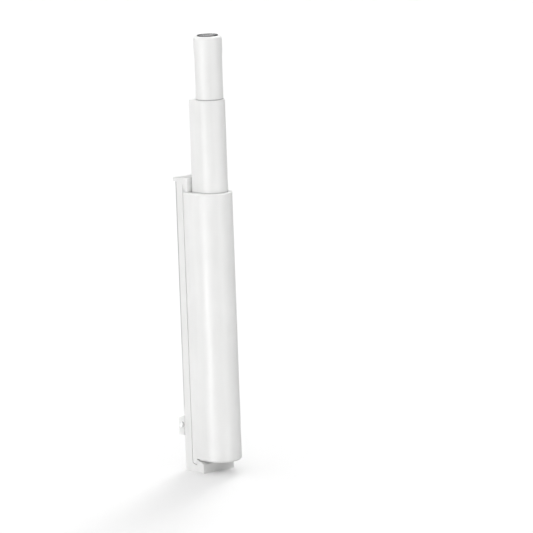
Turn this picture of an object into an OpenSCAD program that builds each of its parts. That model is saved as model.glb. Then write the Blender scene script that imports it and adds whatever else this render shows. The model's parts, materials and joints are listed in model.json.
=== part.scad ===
// Push to open catch: a telescopic, magnetic push latch on a screw-on carrier.
// Millimetres. +Z runs along the plunger, -Y is the crown of the arched housing,
// the mounting face lies in Y = 0, and Z = 0 is the line through the two screw holes.
// Depth in the comments is the distance from the mounting face, along -Y.

/* [Carrier] */
// Distance from the carrier's rear end to the housing's rear end
rear_step = 4.8; // [4.6:0.1:6]
// Gap between the housing's front and the hook
hook_gap = 0.1; // [0.05:0.05:0.4]
// Thickness of the carrier's plate, up to the seam with the housing
plate_t = 4.45; // [4.2:0.05:5.2]
// Chamfer along the two long edges of the plate's rear face
rear_chamfer = 0.8; // [0.4:0.1:1]
// Gap between the head block and the first stage's flat side
head_gap = 0.35; // [0.3:0.05:0.7]
// How much further forward the head is at its outer edge
head_lean = 0.4; // [0:0.1:1]
// Height of the head block, hook included
head_h = 4.7; // [4.2:0.1:6]
// Rounding of the head's two outer corners
head_round = 0.7; // [0.3:0.1:1.2]
// Width of the hook's blunt tip
hook_tip = 0.9; // [0.6:0.1:1.2]
// How far the slanted undercut runs up behind the hook
hook_undercut = 2.65; // [1.5:0.05:3]
// Depth of the rear block
rear_block_depth = 10.5; // [9.5:0.1:11.5]
// Height of the rear block at its outer face
rear_block_h = 3.1; // [2.5:0.1:3.5]
// How far the rear block's nose rises at its inner edge
nose_rise = 1.45; // [0.8:0.05:1.6]
// How far the two lips stand out behind the mounting face
lip_out = 0.45; // [0.3:0.05:1]
// Thickness of each lip
lip_t = 1.25; // [0.8:0.05:2]
// Width of each lip
lip_w = 5.2; // [3:0.1:6]

/* [Screw ears] */
// How far each ear stands out from the carrier's side
ear_out = 2.65; // [2.5:0.05:5]
// Thickness of each ear
ear_t = 0.95; // [0.8:0.05:1.8]
// How much lower and narrower the rear half of each ear is than the pad round the hole
ear_step = 0.35; // [0.1:0.05:0.5]
// Length of each ear at its root
ear_len = 7.25; // [6:0.05:10]
// How far each ear reaches towards the rear from its screw hole
ear_rear = 4.1; // [3:0.1:5]
// Distance from the rear end to the screw holes
screw_z = 16.7; // [14:0.1:25]
// Radius of the screw holes
screw_hole_r = 1.1; // [0.8:0.05:1.2]
// Distance from the carrier's side to a screw hole's centre
screw_inset = 1.35; // [1.2:0.05:1.7]

/* [Housing] */
// Length of the housing
housing_len = 95.8; // [85:0.1:125]
// Wall of the arch
wall = 0.75; // [0.7:0.05:0.9]
// Room for the bush on each side of the first stage
side_room = 1.05; // [0.95:0.05:1.2]
// Room for the bush between the housing's floor and the first stage
floor_room = 0.45; // [0.4:0.05:0.6]
// Thickness of the housing's floor over the seam
floor_t = 2.5; // [2.3:0.05:2.7]
// Length of the rim round the mouth
rim_len = 3; // [2:0.1:5]
// Gap between the rim and the first stage
mouth_gap = 0.3; // [0.25:0.05:0.4]
// Rounding of the front edge
front_round = 0.6; // [0.2:0.05:0.7]
// How far the rear tongue reaches past the housing's end
tongue_len = 1.8; // [1:0.1:2]
// Radius of the tongue's heel and of the seat that it rests over
heel_r = 1.4; // [0.5:0.1:1.6]
// Gap under the tongue
heel_gap = 0.3; // [0.1:0.05:0.6]
// Height of the shadow groove along the seam
groove = 0.34; // [0.2:0.02:0.5]
// Depth of the shadow groove
groove_deep = 0.5; // [0.2:0.05:0.7]
// Width of the key that stands in the carrier's groove
key_w = 6; // [4:0.1:8]
// Height of the key
key_h = 1.2; // [0.8:0.1:1.6]

/* [First stage] */
// How much deeper the axis of the stages lies than the centre of the arch
axis_offset = 0.55; // [0.5:0.05:0.6]
// Wall of the first stage at its sides and crown
stage_wall = 0.38; // [0.35:0.01:0.5]
// Wall of the first stage at its flat side
flat_wall = 0.53; // [0.45:0.01:0.65]
// Rounding of the corners beside the flat side
stage_corner = 0.5; // [0.3:0.05:0.7]
// Length of the first stage that shows in front of the housing
stage_show = 32.8; // [30:0.1:34]
// Whole length of the first stage
stage_len = 50; // [48:0.1:54]
// Length of the flange on its rear end
flange_len = 5.95; // [4:0.05:8]
// Length of the bush behind the housing's rim
bush_len = 7.1; // [5:0.1:9]
// Thickness of the soft ring between the flange and the bush
stop_ring_t = 1; // [0.6:0.1:1.5]

/* [Plunger] */
// How much wider the tip is than the shaft, each side
tip_flare = 0.22; // [0.1:0.01:0.4]
// Radius of the shaft where it leaves the first stage
shaft_r = 4.78; // [4.7:0.01:4.8]
// How much wider the shaft is at the end of the part that slides in
shaft_flare = 0.06; // [0:0.01:0.06]
// Length that shows in front of the first stage
plunger_show = 22.45; // [20:0.05:26]
// Rounding of the tip's edge
tip_round = 1.2; // [0.6:0.1:1.25]
// Radius of the long bore
bore_r = 3.45; // [3.2:0.05:3.5]
// Length of the collar behind the shaft
collar_len = 5; // [4:0.1:6]
// Length of the shaft and collar that stay inside the first stage
plunger_held = 19.5; // [18:0.1:22]

/* [Magnet] */
// Radius of the steel cup
cup_r = 3.72; // [3.5:0.02:3.75]
// Wall of the steel cup
cup_wall = 0.65; // [0.4:0.05:0.9]
// Height of the cup
cup_h = 2.8; // [2:0.1:3.2]
// How far the cup stands proud of the tip
cup_proud = 0.3; // [0.1:0.05:0.5]
// How far the magnet lies below the cup's edge
magnet_sunk = 0.12; // [0:0.02:0.3]

/* [Latch] */
// Travel of the first stage, the over-push included
stage_travel = 28.4; // [24:0.1:28.6]
// Travel of the plunger in the first stage
plunger_travel = 14.6; // [12:0.1:15]
// Over-push from the latched place to the end of the travel
over_push = 1; // [0.6:0.1:1.5]
// Width of the cam rod
rod_w = 5; // [4.8:0.1:5.1]
// Radius of the follower's wire
wire_r = 0.45; // [0.35:0.01:0.5]
// Distance of the two lanes from the middle of the cam rod
lane = 1.2; // [1.15:0.01:1.25]
// Depth of the cam track
track_depth = 1; // [0.8:0.05:1.2]
// Height of the latch base's post over the base
post_h = 4; // [3.5:0.1:4]

/* [Spring] */
// Gap between the main spring and the first stage's bore
spring_room = 0.39; // [0.34:0.01:0.41]
// Radius of the spring's wire
spring_wire_r = 0.33; // [0.25:0.01:0.33]
// Number of turns
spring_turns = 26; // [20:1:30]

/* [Fits] */
// Running gap between the sliding parts, each side
run = 0.08; // [0.04:0.01:0.1]
// Gap between parts that are clipped or pressed together
seat = 0.02; // [0.01:0.01:0.05]
// Free gap between parts that only pass each other
free = 0.1; // [0.05:0.01:0.15]

/* [Hidden] */

eps = 0.01;
facets = 96;
small_facets = 48;
arc_steps = 5;

// Radii from the plunger outwards, to the housing's half width
hole_r = shaft_r + shaft_flare + run;
tip_r = shaft_r + tip_flare;
spring_r = hole_r - spring_room - spring_wire_r;
stage_r = hole_r + stage_wall;
stage_flat = hole_r + flat_wall;
bore_arch = stage_r + side_room;
half_w = bore_arch + wall;
body_w = 2 * half_w;

// Depths from the mounting face outwards, to the axis that the stages and the spring share
seam = plate_t;
bore_flat = seam + floor_t;
flat_depth_stage = bore_flat + floor_room;
head_depth = flat_depth_stage - head_gap;
axis_depth = flat_depth_stage + stage_flat;
arch_depth = axis_depth - axis_offset;

// Levels along Z, from the rear end of the carrier
housing_z0 = rear_step;
housing_z1 = housing_z0 + housing_len;
hook_z = housing_z1 + hook_gap;
carrier_len = hook_z + head_h;
rim_z = housing_z1 - rim_len;
ring_gap = 0.05;
ring_play = 0.15;
bush_z = rim_z - bush_len;
ring_z = bush_z - stop_ring_t;
flange_z1 = ring_z - ring_gap;
flange_z0 = flange_z1 - flange_len;
stage_z1 = housing_z1 + stage_show;
stage_z0 = stage_z1 - stage_len;
plunger_z1 = stage_z1 + plunger_show;
plunger_z0 = stage_z1 - plunger_held;
collar_z1 = plunger_z0 + collar_len;

// The rear cap, the latch base and the spring's seat stand on each other
cap_lip = 0.45;
cap_plug = 4.5;
cap_z1 = housing_z0 + cap_plug;
base_h = 4.6;
base_z1 = cap_z1 + base_h;
seat_t = 0.6;
seat_out = 0.2;
spring_z0 = base_z1 + seat_t;
post_z1 = base_z1 + post_h;

// The track on the cam rod, and the follower in it
pivot_h = 2.5;
pivot_z = base_z1 + pivot_h;
pivot_play = 0.05;
rod_clear = 0.6;
total_travel = stage_travel + plunger_travel;
rod_z0 = post_z1 + rod_clear + total_travel;
track_end = 0.9;
track_room = 0.35;
tip_z = rod_z0 + track_end + wire_r + track_room;
latch_z = tip_z + total_travel - over_push;
track_z1 = tip_z + total_travel + wire_r + track_room;
rod_face = 0.9;
rod_back = 2.75;
wire_over = 1.85;
tip_gap = 0.15;
wire_tip = rod_face - track_depth + tip_gap;

// The magnet's seat and the lugs on the plunger's collar
magnet_r = cup_r - cup_wall - seat;
cup_floor = 0.7;
lug_w = 1.2;
lug_r = 5.9;
stage_round = 0.3;
cup_round = 0.12;
web_t = 2;

// Points of an arc in the plane of a profile
function arc(cx, cy, r, a0, a1) =
    [for (i = [0 : arc_steps]) let (a = a0 + (a1 - a0) * i / arc_steps) [cx + r * cos(a), cy + r * sin(a)]];

// Half profile of a turned part between two levels, with rounded edges
function turned(r, z0, z1, low, high) =
    concat([[0, z0]],
           low > 0 ? arc(r - low, z0 + low, low, -90, 0) : [[r, z0]],
           high > 0 ? arc(r - high, z1 - high, high, 0, 90) : [[r, z1]],
           [[0, z1]]);

// Whole profile of a flat-sided block, rounded like the turned part
function sided(r, z0, z1, low, high) =
    concat(low > 0 ? arc(r - low, z0 + low, low, -90, 0) : [[r, z0]],
           high > 0 ? arc(r - high, z1 - high, high, 0, 90) : [[r, z1]],
           high > 0 ? arc(high - r, z1 - high, high, 90, 180) : [[-r, z1]],
           low > 0 ? arc(low - r, z0 + low, low, 180, 270) : [[-r, z0]]);

// Puts the origin on the line through the screw holes
module placed() {
    translate([0, 0, -screw_z]) children();
}

// Extrudes a profile of depth and Z over a width, centred on X
module across(width) {
    rotate([90, 0, -90]) translate([0, 0, -width / 2]) linear_extrude(width) children();
}

// Extrudes a profile of X and Z from one depth to another
module outwards(depth0, depth1) {
    translate([0, -depth0, 0]) rotate([90, 0, 0]) linear_extrude(depth1 - depth0) children();
}

// Arch with flat sides: a turned part about the arch's centre and a block down to the flat
module arched(r, centre, flat_depth, z0, z1, low = 0, high = 0) {
    difference() {
        union() {
            translate([0, -centre, 0]) rotate_extrude($fn = facets) polygon(turned(r, z0, z1, low, high));
            outwards(flat_depth, centre) polygon(sided(r, z0, z1, low, high));
        }
        translate([-r - 1, -flat_depth, z0 - 1]) cube([2 * r + 2, centre, z1 - z0 + 2]);
    }
}

// A round bar along Z at a distance from the mounting face
module bar(r, depth, z0, z1, x = 0) {
    translate([x, -depth, z0]) cylinder(r = r, h = z1 - z0, $fn = small_facets);
}

// A round bar along Y
module peg(r, x, z, depth0, depth1) {
    translate([x, -depth0, z]) rotate([90, 0, 0]) cylinder(r = r, h = depth1 - depth0, $fn = small_facets);
}

// What the rounding of a corner along Z takes away, on the side s
// way is 1 for a corner next to a flat that faces the mounting face, and -1 for one that faces away from it
module corner_cut(r, s, side, depth, way, z0, z1) {
    difference() {
        translate([s * side - r, -depth - r, z0]) cube([2 * r, 2 * r, z1 - z0]);
        bar(r, depth + way * r, z0 - 1, z1 + 1, s * (side - r));
    }
}

// The outline of the first stage, grown by a gap
module stage_outline(gap, z0, z1, high = 0) {
    flat_depth = axis_depth - stage_flat - gap;
    side = stage_r + gap;
    difference() {
        arched(side, axis_depth, flat_depth, z0, z1, 0, high);
        for (s = [-1, 1]) {
            corner_cut(stage_corner + gap, s, side, flat_depth, 1, z0 - eps, z1 + eps);
        }
    }
}

// Two slots in the corners of the first stage, or the two lugs that run in them
module corner_lugs(width, r, z0, z1) {
    root = (collar_bore + shaft_r) / 2;
    for (s = [-1, 1]) {
        translate([0, -axis_depth, z0]) rotate([0, 0, 90 - s * 45])
            translate([root, -width / 2, 0]) cube([r - root, width, z1 - z0]);
    }
}

// Carrier: plate, head with hook, lips, rear block and screw ears, one moulding
module carrier() {
    nose_depth = bore_flat + free;
    heel_floor = housing_z0 - tongue_len - heel_gap;
    rear_part = [[0, 0], [rear_block_depth, 0], [rear_block_depth, rear_block_h],
                 [nose_depth, rear_block_h + nose_rise], [nose_depth, heel_floor]];
    head_part = [[seam, hook_z + hook_undercut], [head_depth - hook_tip, hook_z], [head_depth, hook_z],
                 [head_depth, carrier_len + head_lean], [0, carrier_len]];
    side_profile = concat(rear_part, arc(seam + heel_r, heel_floor + heel_r, heel_r, 270, 180), head_part);
    chamfer_w = rear_chamfer * sqrt(2);
    slot_w = key_w + 2 * free;
    slot_len = key_z1 - key_z0 + 2 * free;
    color([0.94, 0.94, 0.93]) placed() difference() {
        union() {
            difference() {
                across(body_w) polygon(side_profile);
                for (s = [-1, 1]) {
                    translate([s * half_w, 0, 0]) rotate([0, 0, 45])
                        cube([chamfer_w, chamfer_w, 2 * (carrier_len - lip_t)], center = true);
                }
            }
            for (s = [-1, 1]) {
                translate([s * (half_w - lip_w / 2) - lip_w / 2, -eps, carrier_len - lip_t])
                    cube([lip_w, lip_out + eps, lip_t]);
                outwards(0, ear_t)
                    polygon(ear_outline(s, ear_out, screw_z - ear_pad, 0));
                outwards(0, ear_t - ear_step)
                    polygon(ear_outline(s, ear_out - ear_step, screw_z - ear_rear, ear_slope_rear));
            }
        }
        outwards(seam - key_h - free, seam + 1)
            translate([-slot_w / 2, key_z0 - free]) square([slot_w, slot_len]);
        for (s = [-1, 1]) {
            peg(screw_hole_r, s * (half_w + screw_inset), screw_z, -1, ear_t + 1);
            corner_cut(head_round, s, half_w, head_depth, -1, hook_z - 1, carrier_len + head_lean + 1);
        }
        translate([half_w - mark_deep, -seam - eps, mark_z]) cube([1, mark_len, mark_w]);
    }
}

// Level and size of the small setting mark on the carrier's side
mark_z = 78;
mark_w = 0.6;
mark_len = 1.3;
mark_deep = 0.3;

// Ends of the key
key_inset = 4;
key_z0 = housing_z0 + key_inset;
key_z1 = housing_z1 - key_inset;

// Outline of an ear's pad or of its rear half, seen from the front
ear_root = 1.2;
ear_slope_rear = 1;
ear_slope_front = 0.3;
ear_pad = 1.15;
// reach is how far it stands out, z0 its rear end at the root, and slope how much that end rises outwards
function ear_outline(s, reach, z0, slope) =
    let (z1 = screw_z - ear_rear + ear_len, x0 = half_w - ear_root, x1 = half_w + reach)
    [[s * x0, z0], [s * half_w, z0], [s * x1, z0 + slope], [s * x1, z1 - ear_slope_front],
     [s * half_w, z1], [s * x0, z1]];

// Housing: arched tube with floor, key, rear tongue and the lip under the hook
module housing() {
    lip_profile = [[seam, housing_z1 - 1], [seam, hook_z + hook_undercut - lip_gap],
                   [seam + lip_root, hook_z + lip_step], [seam + lip_root, housing_z1 - 1]];
    color([0.95, 0.95, 0.94]) placed() {
        difference() {
            union() {
                arched(half_w, arch_depth, seam, housing_z0, housing_z1, rear_round, front_round);
                across(2 * half_w) tongue_profile();
                outwards(seam - key_h, seam + 1)
                    translate([-key_w / 2, key_z0]) square([key_w, key_z1 - key_z0]);
                across(body_w - 2 * lip_side) polygon(lip_profile);
            }
            for (s = [-1, 1]) {
                translate([s * half_w - groove_deep, -seam - groove, 0])
                    cube([2 * groove_deep, 2 * groove, housing_z1 + 1]);
            }
            arched(bore_arch, arch_depth, bore_flat, housing_z0 - 1, rim_z);
            stage_outline(mouth_gap, rim_z - eps, housing_z1 + 1);
        }
    }
}

// Rounding of the rear edge, and the wedge-shaped lip that reaches in behind the hook
rear_round = 0.2;
lip_side = 0.25;
lip_gap = 0.4;
lip_root = 0.85;
lip_step = 0.55;

// Side view of the rear tongue, with its rounded heel
module tongue_profile() {
    z0 = housing_z0 - tongue_len;
    polygon(concat([[seam, housing_z0 + 1], [bore_flat, housing_z0 + 1], [bore_flat, z0]],
                   arc(seam + heel_r, z0 + heel_r, heel_r, 270, 180)));
}

// Rear cap: plug in the housing's bore with a low flange over its end
module rear_cap() {
    flange_in = 0.5;
    flange_round = 0.15;
    flange_depth = bore_flat + 1.15;
    color([0.9, 0.9, 0.9]) placed() {
        arched(bore_arch - seat, arch_depth, bore_flat + seat, housing_z0, cap_z1);
        arched(half_w - flange_in, arch_depth, flange_depth, housing_z0 - cap_lip, housing_z0, flange_round);
    }
}

// Latch base: block on the cap with the post that holds the follower's pivot
module latch_base() {
    post_w = 2.6;
    post_in = 2;
    post_out = wire_over - wire_r - free;
    color([0.35, 0.36, 0.38]) placed() difference() {
        union() {
            arched(bore_arch - free, arch_depth, bore_flat + free, cap_z1, base_z1);
            translate([-lane - post_w / 2, -axis_depth - post_out, base_z1 - eps])
                cube([post_w, post_in + post_out, post_h + eps]);
        }
        peg(wire_r + pivot_play, -lane, pivot_z, axis_depth - pivot_in - tip_gap, axis_depth + wire_over);
        translate([-lane - leaf_w / 2 - seat, -axis_depth - leaf_over - leaf_t - seat, base_z1 - leaf_root])
            cube([leaf_w + 2 * seat, leaf_t + 2 * seat, leaf_root + 1]);
    }
}
pivot_in = 0.7;
leaf_w = 1.6;
leaf_t = 0.2;
leaf_root = 1.5;
leaf_past = 0.5;
leaf_over = wire_over + wire_r + pivot_play;

// Keeper leaf: thin spring strip that holds the follower in its pivot
module keeper_leaf() {
    color([0.75, 0.75, 0.77]) placed()
        translate([-lane - leaf_w / 2, -axis_depth - leaf_over - leaf_t, base_z1 - leaf_root])
            cube([leaf_w, leaf_t, leaf_root + post_h + leaf_past]);
}

// Seat: washer under the main spring
module spring_seat() {
    color([0.7, 0.7, 0.72]) placed() difference() {
        bar(spring_r + spring_wire_r + seat_out, axis_depth, base_z1, spring_z0);
        bar(spring_r - spring_wire_r - free, axis_depth, base_z1 - 1, spring_z0 + 1);
    }
}

// Main spring: one swept wire with closed turns at both ends
module main_spring() {
    steps_turn = 12;
    sides = 6;
    low = spring_z0 + spring_wire_r;
    high = plunger_z0 - spring_wire_r;
    rings = spring_turns * steps_turn;
    closed = 2 * spring_wire_r;
    rise = (high - low - 2 * closed) / (spring_turns - 2);
    function level(t) =
        t < 1 ? low + closed * t
        : t > spring_turns - 1 ? high - closed * (spring_turns - t)
        : low + closed + rise * (t - 1);
    points = [for (i = [0 : rings]) let (t = i / steps_turn, a = 360 * t)
                  for (k = [0 : sides - 1]) let (b = 360 * k / sides, r = spring_r + spring_wire_r * cos(b))
                      [r * cos(a), r * sin(a) - axis_depth, level(t) + spring_wire_r * sin(b)]];
    walls = [for (i = [0 : rings - 1]) for (k = [0 : sides - 1]) let (n = (k + 1) % sides, p = i * sides)
                 for (f = [[p + k, p + n, p + sides + k], [p + n, p + sides + n, p + sides + k]]) f];
    start = [[for (k = [sides - 1 : -1 : 0]) k]];
    finish = [[for (k = [0 : sides - 1]) rings * sides + k]];
    color([0.78, 0.78, 0.8]) placed() polyhedron(points, concat(walls, start, finish));
}

// Soft ring between the flange and the bush
module stop_ring() {
    color([0.2, 0.2, 0.2]) placed() difference() {
        arched(bore_arch - free, arch_depth, bore_flat + free, ring_z, bush_z);
        stage_outline(ring_play, ring_z - 1, bush_z + 1);
    }
}

// Front bush: guides the first stage behind the rim
module front_bush() {
    color([0.85, 0.85, 0.84]) placed() difference() {
        arched(bore_arch - seat, arch_depth, bore_flat + seat, bush_z, rim_z);
        stage_outline(run, bush_z - 1, rim_z + 1);
    }
}

// First stage: arched tube with a round bore and two blind corner slots
module stage_tube() {
    color([0.95, 0.95, 0.94]) placed() difference() {
        stage_outline(0, stage_z0, stage_z1, stage_round);
        bar(hole_r, axis_depth, stage_z0 - 1, stage_z1 + 1);
        corner_lugs(lug_w + 2 * free, lug_r + free, stage_z0 - 1, collar_z1 + ring_gap);
    }
}

// Flange on the rear end of the first stage, stopped by the soft ring
module stage_flange() {
    color([0.85, 0.85, 0.84]) placed() difference() {
        arched(bore_arch - run, arch_depth, bore_flat + run, flange_z0, flange_z1);
        stage_outline(seat, flange_z0 - 1, flange_z1 + 1);
    }
}

// Plunger: hollow shaft, slightly flared, with the pocket for the magnet's cup
module plunger_tube() {
    slid_z = stage_z1 + plunger_travel;
    flare_z = slid_z + flare_len;
    spigot_r = collar_bore - seat;
    tip_arc = arc(tip_r - tip_round, plunger_z1 - tip_round, tip_round, 0, 90);
    spigot_z = plunger_z0 + spigot_step;
    profile = concat([[0, spigot_z], [spigot_r, spigot_z], [spigot_r, collar_z1], [shaft_r, collar_z1],
                      [shaft_r, stage_z1], [shaft_r + shaft_flare, slid_z], [tip_r, flare_z]],
                     tip_arc, [[0, plunger_z1]]);
    color([0.96, 0.96, 0.95]) placed() difference() {
        translate([0, -axis_depth, 0]) rotate_extrude($fn = facets) polygon(profile);
        bar(bore_r, axis_depth, plunger_z0 - 1, cup_z0 - web_t);
        bar(cup_r + seat, axis_depth, cup_z0, plunger_z1 + 1);
        translate([0, -axis_depth, pin_z]) rotate([0, 90, 0])
            cylinder(r = pin_r + seat, h = body_w, center = true, $fn = small_facets);
    }
}
collar_bore = 4.2;
spigot_step = 0.4;
flare_len = 3;
cup_z0 = plunger_z1 + cup_proud - cup_h;
pin_r = 0.75;
pin_z = collar_z1 + 2.6;
pin_inset = 0.2;
past_pin = 3;

// Collar behind the shaft, with the two lugs that stop and steer the plunger
module plunger_collar() {
    color([0.85, 0.85, 0.84]) placed() difference() {
        union() {
            bar(shaft_r + shaft_flare, axis_depth, plunger_z0, collar_z1);
            corner_lugs(lug_w, lug_r, plunger_z0, collar_z1);
        }
        bar(collar_bore, axis_depth, plunger_z0 - 1, collar_z1 + 1);
    }
}

// Cross pin that ties the cam rod to the plunger
module rod_pin() {
    color([0.75, 0.75, 0.77]) placed() translate([0, -axis_depth, pin_z]) rotate([0, 90, 0])
        cylinder(r = pin_r, h = 2 * (shaft_r - pin_inset), center = true, $fn = small_facets);
}

// Cam rod: flat rod with the latch track, and the spigot in the plunger's bore
module cam_rod() {
    island_w = 0.6;
    island_len = 7;
    island_taper = 1.5;
    notch_z = latch_z - wire_r * sqrt(2) - 0.02;
    side_z = notch_z - island_len + island_taper;
    island = [[0, notch_z - island_len], [island_w, side_z], [island_w, notch_z + island_w], [0, notch_z],
              [-island_w, notch_z + island_w], [-island_w, side_z]];
    track_half = lane + wire_r + free;
    color([0.35, 0.36, 0.38]) placed() difference() {
        union() {
            translate([-rod_w / 2, -axis_depth - rod_face, rod_z0])
                cube([rod_w, rod_face + rod_back, plunger_z0 - rod_z0 + spigot_step - free]);
            bar(bore_r - seat, axis_depth, plunger_z0, pin_z + past_pin);
        }
        difference() {
            translate([-track_half, -axis_depth - rod_face - 1, rod_z0 + track_end])
                cube([2 * track_half, track_depth + 1, track_z1 - rod_z0 - track_end]);
            outwards(axis_depth + rod_face - track_depth - 1, axis_depth + rod_face) polygon(island);
        }
        translate([0, -axis_depth, pin_z]) rotate([0, 90, 0])
            cylinder(r = pin_r + seat, h = body_w, center = true, $fn = small_facets);
    }
}

// Follower: bent wire, its pivot end in the post and its tip in the track
module follower_wire() {
    over = axis_depth + wire_over;
    color([0.75, 0.75, 0.77]) placed() {
        bar(wire_r, over, pivot_z, tip_z, -lane);
        peg(wire_r, -lane, pivot_z, axis_depth - pivot_in, over);
        peg(wire_r, -lane, tip_z, axis_depth + wire_tip, over);
        for (z = [pivot_z, tip_z]) {
            translate([-lane, -over, z]) sphere(r = wire_r, $fn = small_facets);
        }
    }
}

// Steel cup round the magnet
module magnet_cup() {
    color([0.55, 0.55, 0.57]) placed() difference() {
        translate([0, -axis_depth, 0]) rotate_extrude($fn = facets)
            polygon(turned(cup_r, cup_z0, cup_z0 + cup_h, 0, cup_round));
        bar(cup_r - cup_wall, axis_depth, cup_z0 + cup_floor, cup_z0 + cup_h + 1);
    }
}

// Magnet disc
module magnet() {
    color([0.75, 0.75, 0.76]) placed()
        bar(magnet_r, axis_depth, cup_z0 + cup_floor, cup_z0 + cup_h - magnet_sunk);
}

carrier();
housing();
rear_cap();
latch_base();
keeper_leaf();
spring_seat();
main_spring();
stop_ring();
front_bush();
stage_tube();
stage_flange();
plunger_tube();
plunger_collar();
rod_pin();
cam_rod();
follower_wire();
magnet_cup();
magnet();
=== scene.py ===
"""Push to open catch: materials, rounded mouldings, light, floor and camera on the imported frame."""
import json
import math

import bmesh
import bpy
from mathutils import Matrix, Vector

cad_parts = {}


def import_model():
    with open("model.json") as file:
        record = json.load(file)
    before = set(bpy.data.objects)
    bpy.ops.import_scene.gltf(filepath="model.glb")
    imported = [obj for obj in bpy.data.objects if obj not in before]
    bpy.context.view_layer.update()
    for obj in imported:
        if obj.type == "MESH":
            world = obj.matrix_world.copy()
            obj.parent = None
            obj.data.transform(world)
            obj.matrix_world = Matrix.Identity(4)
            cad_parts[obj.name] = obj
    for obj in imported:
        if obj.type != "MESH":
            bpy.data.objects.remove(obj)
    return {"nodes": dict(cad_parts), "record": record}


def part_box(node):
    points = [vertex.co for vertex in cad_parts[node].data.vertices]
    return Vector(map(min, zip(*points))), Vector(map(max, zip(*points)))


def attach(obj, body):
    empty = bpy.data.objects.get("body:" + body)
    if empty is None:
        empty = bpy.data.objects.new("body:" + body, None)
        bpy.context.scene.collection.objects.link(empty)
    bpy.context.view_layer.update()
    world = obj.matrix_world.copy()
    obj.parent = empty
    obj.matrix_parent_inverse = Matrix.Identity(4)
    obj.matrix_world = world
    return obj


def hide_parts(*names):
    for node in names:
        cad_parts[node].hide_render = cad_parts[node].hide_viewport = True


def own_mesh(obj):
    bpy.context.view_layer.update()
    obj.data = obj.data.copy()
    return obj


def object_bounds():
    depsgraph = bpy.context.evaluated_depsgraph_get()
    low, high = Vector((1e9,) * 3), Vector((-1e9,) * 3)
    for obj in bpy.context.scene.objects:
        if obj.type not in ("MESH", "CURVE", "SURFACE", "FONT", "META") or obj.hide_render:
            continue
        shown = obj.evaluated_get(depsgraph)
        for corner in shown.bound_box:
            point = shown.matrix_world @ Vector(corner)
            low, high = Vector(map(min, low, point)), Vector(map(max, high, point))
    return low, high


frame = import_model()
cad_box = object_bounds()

MM = 0.001
UP = Vector((0, 0, 1))

BEHAVIOUR = frame["record"]["behaviour"]
BODY_OF = {node: body for body, nodes in BEHAVIOUR["bodies"].items() for node in nodes}
SCREWS = next(mount["dims"] for mount in frame["record"]["mounts"] if mount["name"] == "screw_holes")
TRAVEL = {joint["name"]: -joint["range_m"][0] for joint in BEHAVIOUR["joints"] if joint["type"] == "slide"}

# Places on the part, in millimetres
HOLE_X = SCREWS["spacing_x_mm"] / 2
HOLE_R = SCREWS["hole_r_mm"]
HOUSING_MOUTH_Z = 83.9
STAGE_MOUTH_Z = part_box("stage_tube")[1][2] / MM

# Soft edges of the painted shade and light on the plastic, in millimetres: each pair is where the edge
# begins and ends
EDGE_SHADE_DEEP_EDGE = (-1.36, -1.24)
EDGE_SHADE_OUTER_EDGE = (-0.86, -0.74)
EDGE_SHADE_REAR_END = (3.5, 7.5)
EDGE_SHADE_FRONT_END = (87.0, 87.6)
EDGE_SHADE_DARKENING = (5, 60)
HEAD_REAR_END = (85.0, 85.1)
EAR_ROOT = (7.12, 7.30)
EAR_ENDS = (5.0, 5.6)
HOLE_WALL = (HOLE_R + 0.02, HOLE_R + 0.06)

# How far a painted shade line at a mouth reaches into it, its soft edge, and how far it stands out of each
# mouth
LINE_REACH = 0.5
LINE_BLUR = 0.1
PLUNGER_SHADE_H = 0.29
STAGE_SHADE_H = 0.18

# Painted tones on the plastic: painted shade for the edge line, the head's ends, the hole walls and the
# mouth lines, and painted light for the ears
EDGE_SHADE_TONE = (0.40, 0.40, 0.40)
HEAD_END_SHADE_TONE = (0.54, 0.54, 0.535)
EAR_LIGHT_TONE = (0.885, 0.885, 0.88)
HOLE_WALL_SHADE_TONE = (0.52, 0.52, 0.52)
PLUNGER_SHADE_TONE = (0.38, 0.38, 0.38)
STAGE_SHADE_TONE = (0.50, 0.50, 0.50)
FAINT_EDGE_SHADE = 0.55

# Widths of the rounded edges, in millimetres, by node
ROUNDINGS = {"carrier": 0.1, "housing": 0.08, "rear_cap": 0.1, "stage_tube": 0.1, "plunger_tube": 0.12}

# The camera, fitted to the photograph's edges: angles in degrees, lengths in millimetres
CAMERA_AZIMUTH = -40.683
CAMERA_ELEVATION = 9.379
CAMERA_ROLL = -1.997
CAMERA_AIM = (0, -8.8, 63.3)
CAMERA_DISTANCE = 1599
CAMERA_ACROSS = 20.738
CAMERA_DOWN = 6.465
FOCAL_PX = 4523.57
PHOTO_PX = 533
SENSOR = 36.0

# Brightness of the light by compass direction, in degrees from the camera's side: below zero is to its left
STRIPS = ((-180, 0.34), (-150, 0.28), (-100, 0.22), (-75, 0.3), (-66, 0.9), (-60, 4.9), (-39, 4.9),
          (-33, 1.0), (-24, 0.7), (-10, 0.55), (0, 0.4), (12, 0.2), (30, 0.25), (38, 3.2), (52, 3.2),
          (60, 0.2), (90, 0.1), (130, 0.1), (150, 0.25), (180, 0.34))
BAND = ((-180, 0.35), (-130, 0.5), (-95, 1.5), (-60, 2.0), (-25, 2.0), (0, 1.1), (20, 0.35),
        (110, 0.15), (150, 0.25), (180, 0.35))
DOME = ((-180, 2.6), (-165, 2.2), (-130, 1.9), (-90, 1.65), (-50, 1.75), (-15, 2.3), (20, 2.9),
        (50, 2.5), (80, 2.1), (130, 1.9), (150, 2.2), (180, 2.6))
WINDOW = ((-180, 2.6), (-165, 2.2), (-134, 1.9), (-130, 4.0), (-118, 4.0), (-114, 1.8), (-90, 1.65),
          (-50, 1.75), (-15, 2.3), (20, 2.9), (50, 2.5), (80, 2.1), (130, 1.9), (150, 2.4), (156, 15.5),
          (172, 15.5), (178, 3.0), (180, 2.6))
CEILING = ((-180, 0.3), (0, 0.2), (180, 0.3))

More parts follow.
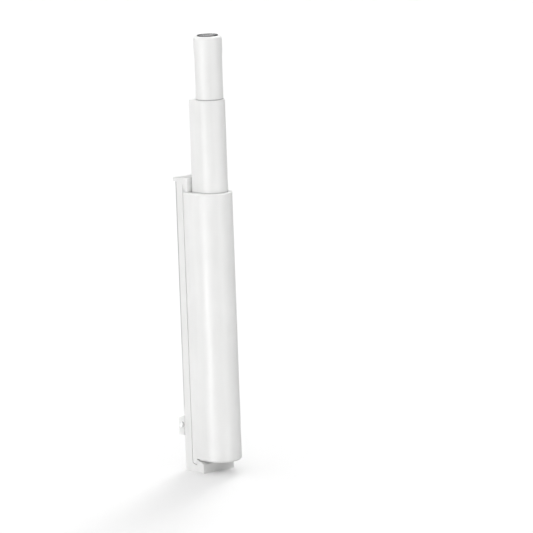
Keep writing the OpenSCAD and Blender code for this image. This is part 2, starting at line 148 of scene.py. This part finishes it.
# The light's layers from the lowest up, each with the elevations, in degrees, over which it takes over
LAYERS = (((-90, -90), STRIPS), ((-1, 3), BAND), ((18, 32), DOME), ((34, 40), WINDOW), ((48, 62), CEILING))

# The limit of a layer's values, and the strength of the whole light
LIGHT_MAX = 20.0
LIGHT_STRENGTH = 0.895

# The floor's side, in metres
FLOOR_SIDE = 16.0


# Node helpers
def new_material(name):
    mat = bpy.data.materials.new(name)
    mat.use_nodes = True
    tree = mat.node_tree
    tree.nodes.clear()
    out = tree.nodes.new("ShaderNodeOutputMaterial")
    shader = tree.nodes.new("ShaderNodeBsdfPrincipled")
    tree.links.new(shader.outputs[0], out.inputs[0])
    return mat, tree, shader


def coords(tree):
    """Object coordinates, in metres, the same in every pose."""
    return tree.nodes.new("ShaderNodeTexCoord").outputs["Object"]


def axes(tree, source):
    node = tree.nodes.new("ShaderNodeSeparateXYZ")
    tree.links.new(source, node.inputs[0])
    return [node.outputs[axis] for axis in "XYZ"]


def noise(tree, source, scale, detail=3.0, rough=0.55, stretch=None):
    if stretch:
        mapping = tree.nodes.new("ShaderNodeMapping")
        mapping.inputs["Scale"].default_value = stretch
        tree.links.new(source, mapping.inputs["Vector"])
        source = mapping.outputs["Vector"]
    node = tree.nodes.new("ShaderNodeTexNoise")
    node.inputs["Scale"].default_value = scale
    node.inputs["Detail"].default_value = detail
    node.inputs["Roughness"].default_value = rough
    tree.links.new(source, node.inputs["Vector"])
    return node.outputs["Fac"]


def spread(tree, source, low, high, from_low=0.3, from_high=0.7):
    """Maps a value from one range to another and keeps it in there."""
    node = tree.nodes.new("ShaderNodeMapRange")
    node.inputs["From Min"].default_value = from_low
    node.inputs["From Max"].default_value = from_high
    node.inputs["To Min"].default_value = low
    node.inputs["To Max"].default_value = high
    tree.links.new(source, node.inputs["Value"])
    return node.outputs["Result"]


def rises(tree, length, edge, low=0):
    """A factor that rises to 1 over a soft edge, which is a pair of places in millimetres."""
    return spread(tree, length, low, 1, edge[0] * MM, edge[1] * MM)


def falls(tree, length, edge):
    """A factor that falls from 1 to 0 over a soft edge."""
    return spread(tree, length, 1, 0, edge[0] * MM, edge[1] * MM)


def math_node(tree, operation, *values):
    node = tree.nodes.new("ShaderNodeMath")
    node.operation = operation
    for socket, value in zip(node.inputs, values):
        if isinstance(value, float):
            socket.default_value = value
        else:
            tree.links.new(value, socket)
    return node.outputs[0]


def product(tree, first, *others):
    for other in others:
        first = math_node(tree, "MULTIPLY", first, other)
    return first


def mix(tree, factor, one, two):
    """Mixes two colours, each of them a tuple or a socket."""
    node = tree.nodes.new("ShaderNodeMix")
    node.data_type = "RGBA"
    tree.links.new(factor, node.inputs["Factor"])
    for name, colour in (("A", one), ("B", two)):
        if isinstance(colour, tuple):
            node.inputs[name].default_value = (*colour, 1)
        else:
            tree.links.new(colour, node.inputs[name])
    return node.outputs["Result"]


def bump(tree, shader, layers):
    """Chains bump nodes: each layer is (height, strength, depth in millimetres)."""
    last = None
    for height, strength, depth in layers:
        node = tree.nodes.new("ShaderNodeBump")
        node.inputs["Strength"].default_value = strength
        node.inputs["Distance"].default_value = depth * MM
        tree.links.new(height, node.inputs["Height"])
        if last:
            tree.links.new(last, node.inputs["Normal"])
        last = node.outputs["Normal"]
    tree.links.new(last, shader.inputs["Normal"])


# Painted shade and light on the plastic: each gives a factor that is 1 where the painted tone is
def painted_edge_shade(tree, y, z):
    """Painted shade: a dark line along the plate's rear edges, standing in for the shade along that edge,
    fainter towards the ears and stopped by the lips.
    """
    return product(tree,
                   rises(tree, y, EDGE_SHADE_DEEP_EDGE),
                   falls(tree, y, EDGE_SHADE_OUTER_EDGE),
                   rises(tree, z, EDGE_SHADE_DARKENING, low=FAINT_EDGE_SHADE),
                   rises(tree, z, EDGE_SHADE_REAR_END),
                   falls(tree, z, EDGE_SHADE_FRONT_END))


def painted_head_end_shade(tree, z):
    """Painted shade: the head's faces across the plunger's axis, darker to stand in for the weaker light
    they get.
    """
    facing = axes(tree, tree.nodes.new("ShaderNodeTexCoord").outputs["Normal"])[2]
    across = spread(tree, math_node(tree, "ABSOLUTE", facing), 0, 1, 0.5, 0.9)
    return product(tree, rises(tree, z, HEAD_REAR_END), across)


def ears(tree, side, z):
    """Painted light: the thin ears, paler to stand in for the light they get."""
    return product(tree, rises(tree, side, EAR_ROOT), falls(tree, math_node(tree, "ABSOLUTE", z), EAR_ENDS))


def painted_hole_wall_shade(tree, side, z):
    """Painted shade: the walls of the screw holes, darker to stand in for the shade inside them."""
    aside = math_node(tree, "SUBTRACT", side, HOLE_X * MM)
    squares = math_node(tree, "ADD", product(tree, aside, aside), product(tree, z, z))
    return falls(tree, math_node(tree, "SQRT", squares), HOLE_WALL)


# Painted shade on the carrier's rear edges, head ends and hole walls, and painted light on its ears
def carrier_painted_light_and_shade(tree, place, colour):
    x, y, z = axes(tree, place)
    side = math_node(tree, "ABSOLUTE", x)
    colour = mix(tree, painted_edge_shade(tree, y, z), colour, EDGE_SHADE_TONE)
    colour = mix(tree, painted_head_end_shade(tree, z), colour, HEAD_END_SHADE_TONE)
    colour = mix(tree, ears(tree, side, z), colour, EAR_LIGHT_TONE)
    return mix(tree, painted_hole_wall_shade(tree, side, z), colour, HOLE_WALL_SHADE_TONE)


def painted_mouth_shade(mouth, tone, height):
    """Painted shade for a sliding tube: a thin dark line where it leaves the mouth, standing in for the
    shade in the gap; hidden when it slides in.
    """
    foot = mouth - LINE_REACH
    top = mouth + height

    def marks(tree, place, colour):
        z = axes(tree, place)[2]
        line = product(tree, rises(tree, z, (foot - LINE_BLUR, foot + LINE_BLUR)),
                       falls(tree, z, (top, top + LINE_BLUR)))
        return mix(tree, line, colour, tone)
    return marks


# Materials
def moulded(name, light, dark, rough_low, rough_high, spec=0.45, grain=0.5, marks=None):
    """Moulded plastic: fine erosion grain, slow sink marks, faint flow streaks and tone variation."""
    mat, tree, shader = new_material(name)
    place = coords(tree)
    sink = noise(tree, place, scale=60, detail=2.0)
    streak = noise(tree, place, scale=260, detail=3.0, rough=0.5, stretch=(1, 1, 0.12))
    fine = noise(tree, place, scale=5200, detail=2.0, rough=0.6)
    colour = mix(tree, spread(tree, product(tree, sink, streak), 0, 1, 0.12, 0.4), light, dark)
    # Painted shade and light, for the pieces that have them
    if marks:
        colour = marks(tree, place, colour)
    tree.links.new(colour, shader.inputs["Base Color"])
    tree.links.new(spread(tree, streak, rough_low, rough_high), shader.inputs["Roughness"])
    shader.inputs["Specular IOR Level"].default_value = spec
    bump(tree, shader, [(sink, 0.12, 0.12), (streak, 0.1, 0.02), (fine, grain, 0.006)])
    return mat


def metal(name, light, dark, rough_low, rough_high, stretch=None):
    """Metal: slow clouds in its tone, and fine scratches along the stretch."""
    mat, tree, shader = new_material(name)
    place = coords(tree)
    cloud = noise(tree, place, scale=420, detail=4.0)
    fine = noise(tree, place, scale=3800, detail=3.0, rough=0.6, stretch=stretch)
    tree.links.new(mix(tree, spread(tree, cloud, 0, 1), light, dark), shader.inputs["Base Color"])
    tree.links.new(spread(tree, fine, rough_low, rough_high), shader.inputs["Roughness"])
    shader.inputs["Metallic"].default_value = 1.0
    bump(tree, shader, [(cloud, 0.1, 0.03), (fine, 0.4, 0.004)])
    return mat


def white(name, marks=None):
    """The satin white of all the pieces that show."""
    return moulded(name, (0.735, 0.735, 0.73), (0.69, 0.69, 0.685), 0.28, 0.36, marks=marks)


WHITE = white("white_plastic")
# The carrier has painted shade and painted light; the plunger and stage have a painted shade line at their
# mouths
CARRIER = white("carrier_plastic", carrier_painted_light_and_shade)
PLUNGER = white("plunger_plastic", painted_mouth_shade(STAGE_MOUTH_Z, PLUNGER_SHADE_TONE, PLUNGER_SHADE_H))
STAGE = white("stage_plastic", painted_mouth_shade(HOUSING_MOUTH_Z, STAGE_SHADE_TONE, STAGE_SHADE_H))
INNER = moulded("inner_plastic", (0.70, 0.70, 0.69), (0.62, 0.62, 0.61), 0.38, 0.5)
GREY = moulded("grey_plastic", (0.060, 0.063, 0.068), (0.040, 0.042, 0.046), 0.35, 0.5)
RUBBER = moulded("soft_rubber", (0.018, 0.018, 0.018), (0.010, 0.010, 0.010), 0.6, 0.8, spec=0.3, grain=0.8)
SPRING = metal("spring_steel", (0.60, 0.60, 0.61), (0.48, 0.48, 0.49), 0.18, 0.32)
CUP = metal("dark_steel", (0.06, 0.06, 0.062), (0.035, 0.035, 0.037), 0.22, 0.34)
NICKEL = metal("nickel", (0.50, 0.50, 0.50), (0.42, 0.42, 0.42), 0.24, 0.36, stretch=(1, 0.15, 1))

LOOKS = {
    "carrier": CARRIER, "housing": WHITE, "rear_cap": WHITE, "stage_tube": STAGE, "plunger_tube": PLUNGER,
    "latch_base": GREY, "cam_rod": GREY, "keeper_leaf": SPRING, "spring_seat": SPRING,
    "main_spring": SPRING, "rod_pin": SPRING, "follower_wire": SPRING, "stop_ring": RUBBER,
    "front_bush": INNER, "stage_flange": INNER, "plunger_collar": INNER,
    "magnet_cup": CUP, "magnet": NICKEL,
}


def dress(obj, mat):
    obj.data.materials.clear()
    obj.data.materials.append(mat)


# Pieces that stand for a CAD node
def stand_in(node, name, body, sharp_angle, shape):
    """A copy of the node's mesh, welded and then changed by shape(bm), in the node's place."""
    mesh = frame["nodes"][node].data.copy()
    mesh.name = name
    bm = bmesh.new()
    bm.from_mesh(mesh)
    bmesh.ops.remove_doubles(bm, verts=bm.verts, dist=1e-7)
    shape(bm)
    bm.to_mesh(mesh)
    bm.free()
    piece = bpy.data.objects.new(name, mesh)
    bpy.context.scene.collection.objects.link(piece)
    dress(piece, LOOKS[node])
    for poly in mesh.polygons:
        poly.use_smooth = True
    mesh.set_sharp_from_angle(angle=math.radians(sharp_angle))
    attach(piece, body)
    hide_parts(node)
    return piece


def join_flat_faces(bm):
    bmesh.ops.dissolve_limit(bm, angle_limit=math.radians(1.0), verts=bm.verts, edges=bm.edges)


def rounded(node, width):
    """The node with its sharp edges rounded by a width in millimetres."""
    piece = stand_in(node, node + "_moulded", BODY_OF[node], sharp_angle=30, shape=join_flat_faces)
    soften = piece.modifiers.new("rounding", "BEVEL")
    soften.width = width * MM
    soften.segments = 3
    soften.limit_method = "ANGLE"
    soften.angle_limit = math.radians(32)
    soften.use_clamp_overlap = True
    soften.miter_outer = "MITER_ARC"


def cut_between(low, high):
    """Keeps what lies between two heights, and closes the cuts."""
    def shape(bm):
        for height, outwards in ((low, -1), (high, 1)):
            everything = bm.verts[:] + bm.edges[:] + bm.faces[:]
            cut = bmesh.ops.bisect_plane(bm, geom=everything, plane_co=(0, 0, height),
                                         plane_no=(0, 0, outwards), clear_outer=True)
            edges = [part for part in cut["geom_cut"] if isinstance(part, bmesh.types.BMEdge)]
            if edges:
                bmesh.ops.holes_fill(bm, edges=edges)
    return shape


def spring_length(name, body, low, high):
    """One length of the main spring, cut between two heights and carried by a body."""
    piece = stand_in("main_spring", name, body, sharp_angle=40, shape=cut_between(low, high))
    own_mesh(piece)


def spring():
    """The spring in two lengths, split by the two slides' travel: the rear length rides on the base and the
    front length on the stage.
    """
    low, high = (corner[2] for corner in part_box("main_spring"))
    middle = low + (high - low) * TRAVEL["stage_slide"] / sum(TRAVEL.values())
    spring_length("main_spring_rear", "base", low, middle)
    spring_length("main_spring_front", "stage", middle, high)


# Floor and light
def floor():
    """A plain pale floor under the part, which glossy rays don't see."""
    half = FLOOR_SIDE / 2
    height = cad_box[0][2]
    corners = [(x * half, y * half, height) for x, y in ((-1, -1), (1, -1), (1, 1), (-1, 1))]
    mesh = bpy.data.meshes.new("floor")
    mesh.from_pydata(corners, [], [(0, 1, 2, 3)])
    obj = bpy.data.objects.new("floor", mesh)
    bpy.context.scene.collection.objects.link(obj)
    mat, tree, shader = new_material("floor_white")
    shader.inputs["Base Color"].default_value = (0.75, 0.75, 0.75, 1)
    shader.inputs["Roughness"].default_value = 0.9
    shader.inputs["Specular IOR Level"].default_value = 0.1
    dress(obj, mat)
    obj.visible_glossy = False


def ramp(tree, compass, stops):
    """Brightness by compass direction: stops are (degrees from the camera's side, brightness)."""
    node = tree.nodes.new("ShaderNodeValToRGB")
    node.color_ramp.interpolation = "LINEAR"
    while len(node.color_ramp.elements) < len(stops):
        node.color_ramp.elements.new(0.5)
    for element, (degrees, value) in zip(node.color_ramp.elements, stops):
        grey = value / LIGHT_MAX
        element.position = (degrees + 180) / 360
        element.color = (grey, grey, grey, 1)
    tree.links.new(compass, node.inputs["Fac"])
    return node.outputs["Color"]


def dot(tree, source, direction):
    node = tree.nodes.new("ShaderNodeVectorMath")
    node.operation = "DOT_PRODUCT"
    node.inputs[1].default_value = direction
    tree.links.new(source, node.inputs[0])
    return node.outputs["Value"]


def world(right, flat):
    """White studio: a pale dome with a window behind, a dark ceiling, and two light strips low down."""
    studio = bpy.data.worlds.new("studio")
    bpy.context.scene.world = studio
    studio.use_nodes = True
    tree = studio.node_tree
    tree.nodes.clear()
    out = tree.nodes.new("ShaderNodeOutputWorld")
    back = tree.nodes.new("ShaderNodeBackground")
    place = tree.nodes.new("ShaderNodeTexCoord").outputs["Generated"]
    turn = math_node(tree, "ARCTAN2", dot(tree, place, right), dot(tree, place, -flat))
    compass = spread(tree, turn, 0, 1, -math.pi, math.pi)
    height = axes(tree, place)[2]
    light = ramp(tree, compass, LAYERS[0][1])
    for elevations, stops in LAYERS[1:]:
        low, high = (math.sin(math.radians(degrees)) for degrees in elevations)
        light = mix(tree, spread(tree, height, 0, 1, low, high), light, ramp(tree, compass, stops))
    tree.links.new(light, back.inputs["Color"])
    back.inputs["Strength"].default_value = LIGHT_MAX * LIGHT_STRENGTH
    tree.links.new(back.outputs[0], out.inputs[0])
    studio.cycles.sampling_method = "NONE"


# Camera
def camera():
    """A pinhole camera. Returns the directions to its right and, level, away from it."""
    azimuth, elevation, roll = (math.radians(a) for a in (CAMERA_AZIMUTH, CAMERA_ELEVATION, CAMERA_ROLL))
    right = Vector((math.cos(azimuth), math.sin(azimuth), 0))
    flat = Vector((-math.sin(azimuth), math.cos(azimuth), 0))
    above = math.sin(elevation) * flat + math.cos(elevation) * UP
    forward = math.cos(elevation) * flat - math.sin(elevation) * UP
    picture_right = math.cos(roll) * right + math.sin(roll) * above
    picture_up = -math.sin(roll) * right + math.cos(roll) * above
    aim = Vector(CAMERA_AIM) + picture_right * CAMERA_ACROSS - picture_up * CAMERA_DOWN
    eye = (aim - forward * CAMERA_DISTANCE) * MM
    data = bpy.data.cameras.new("camera")
    data.sensor_fit = "HORIZONTAL"
    data.sensor_width = SENSOR
    data.lens = SENSOR * FOCAL_PX / PHOTO_PX
    data.clip_start = 0.05
    data.clip_end = 30.0
    obj = bpy.data.objects.new("camera", data)
    basis = Matrix((picture_right, picture_up, -forward)).transposed().to_4x4()
    obj.matrix_world = Matrix.Translation(eye) @ basis
    bpy.context.scene.collection.objects.link(obj)
    bpy.context.scene.camera = obj
    return right, flat


world(*camera())
floor()
bpy.context.scene.view_settings.view_transform = "Standard"
bpy.context.scene.view_settings.look = "None"

for node, mat in LOOKS.items():
    dress(frame["nodes"][node], mat)
for node, width in ROUNDINGS.items():
    rounded(node, width)
spring()
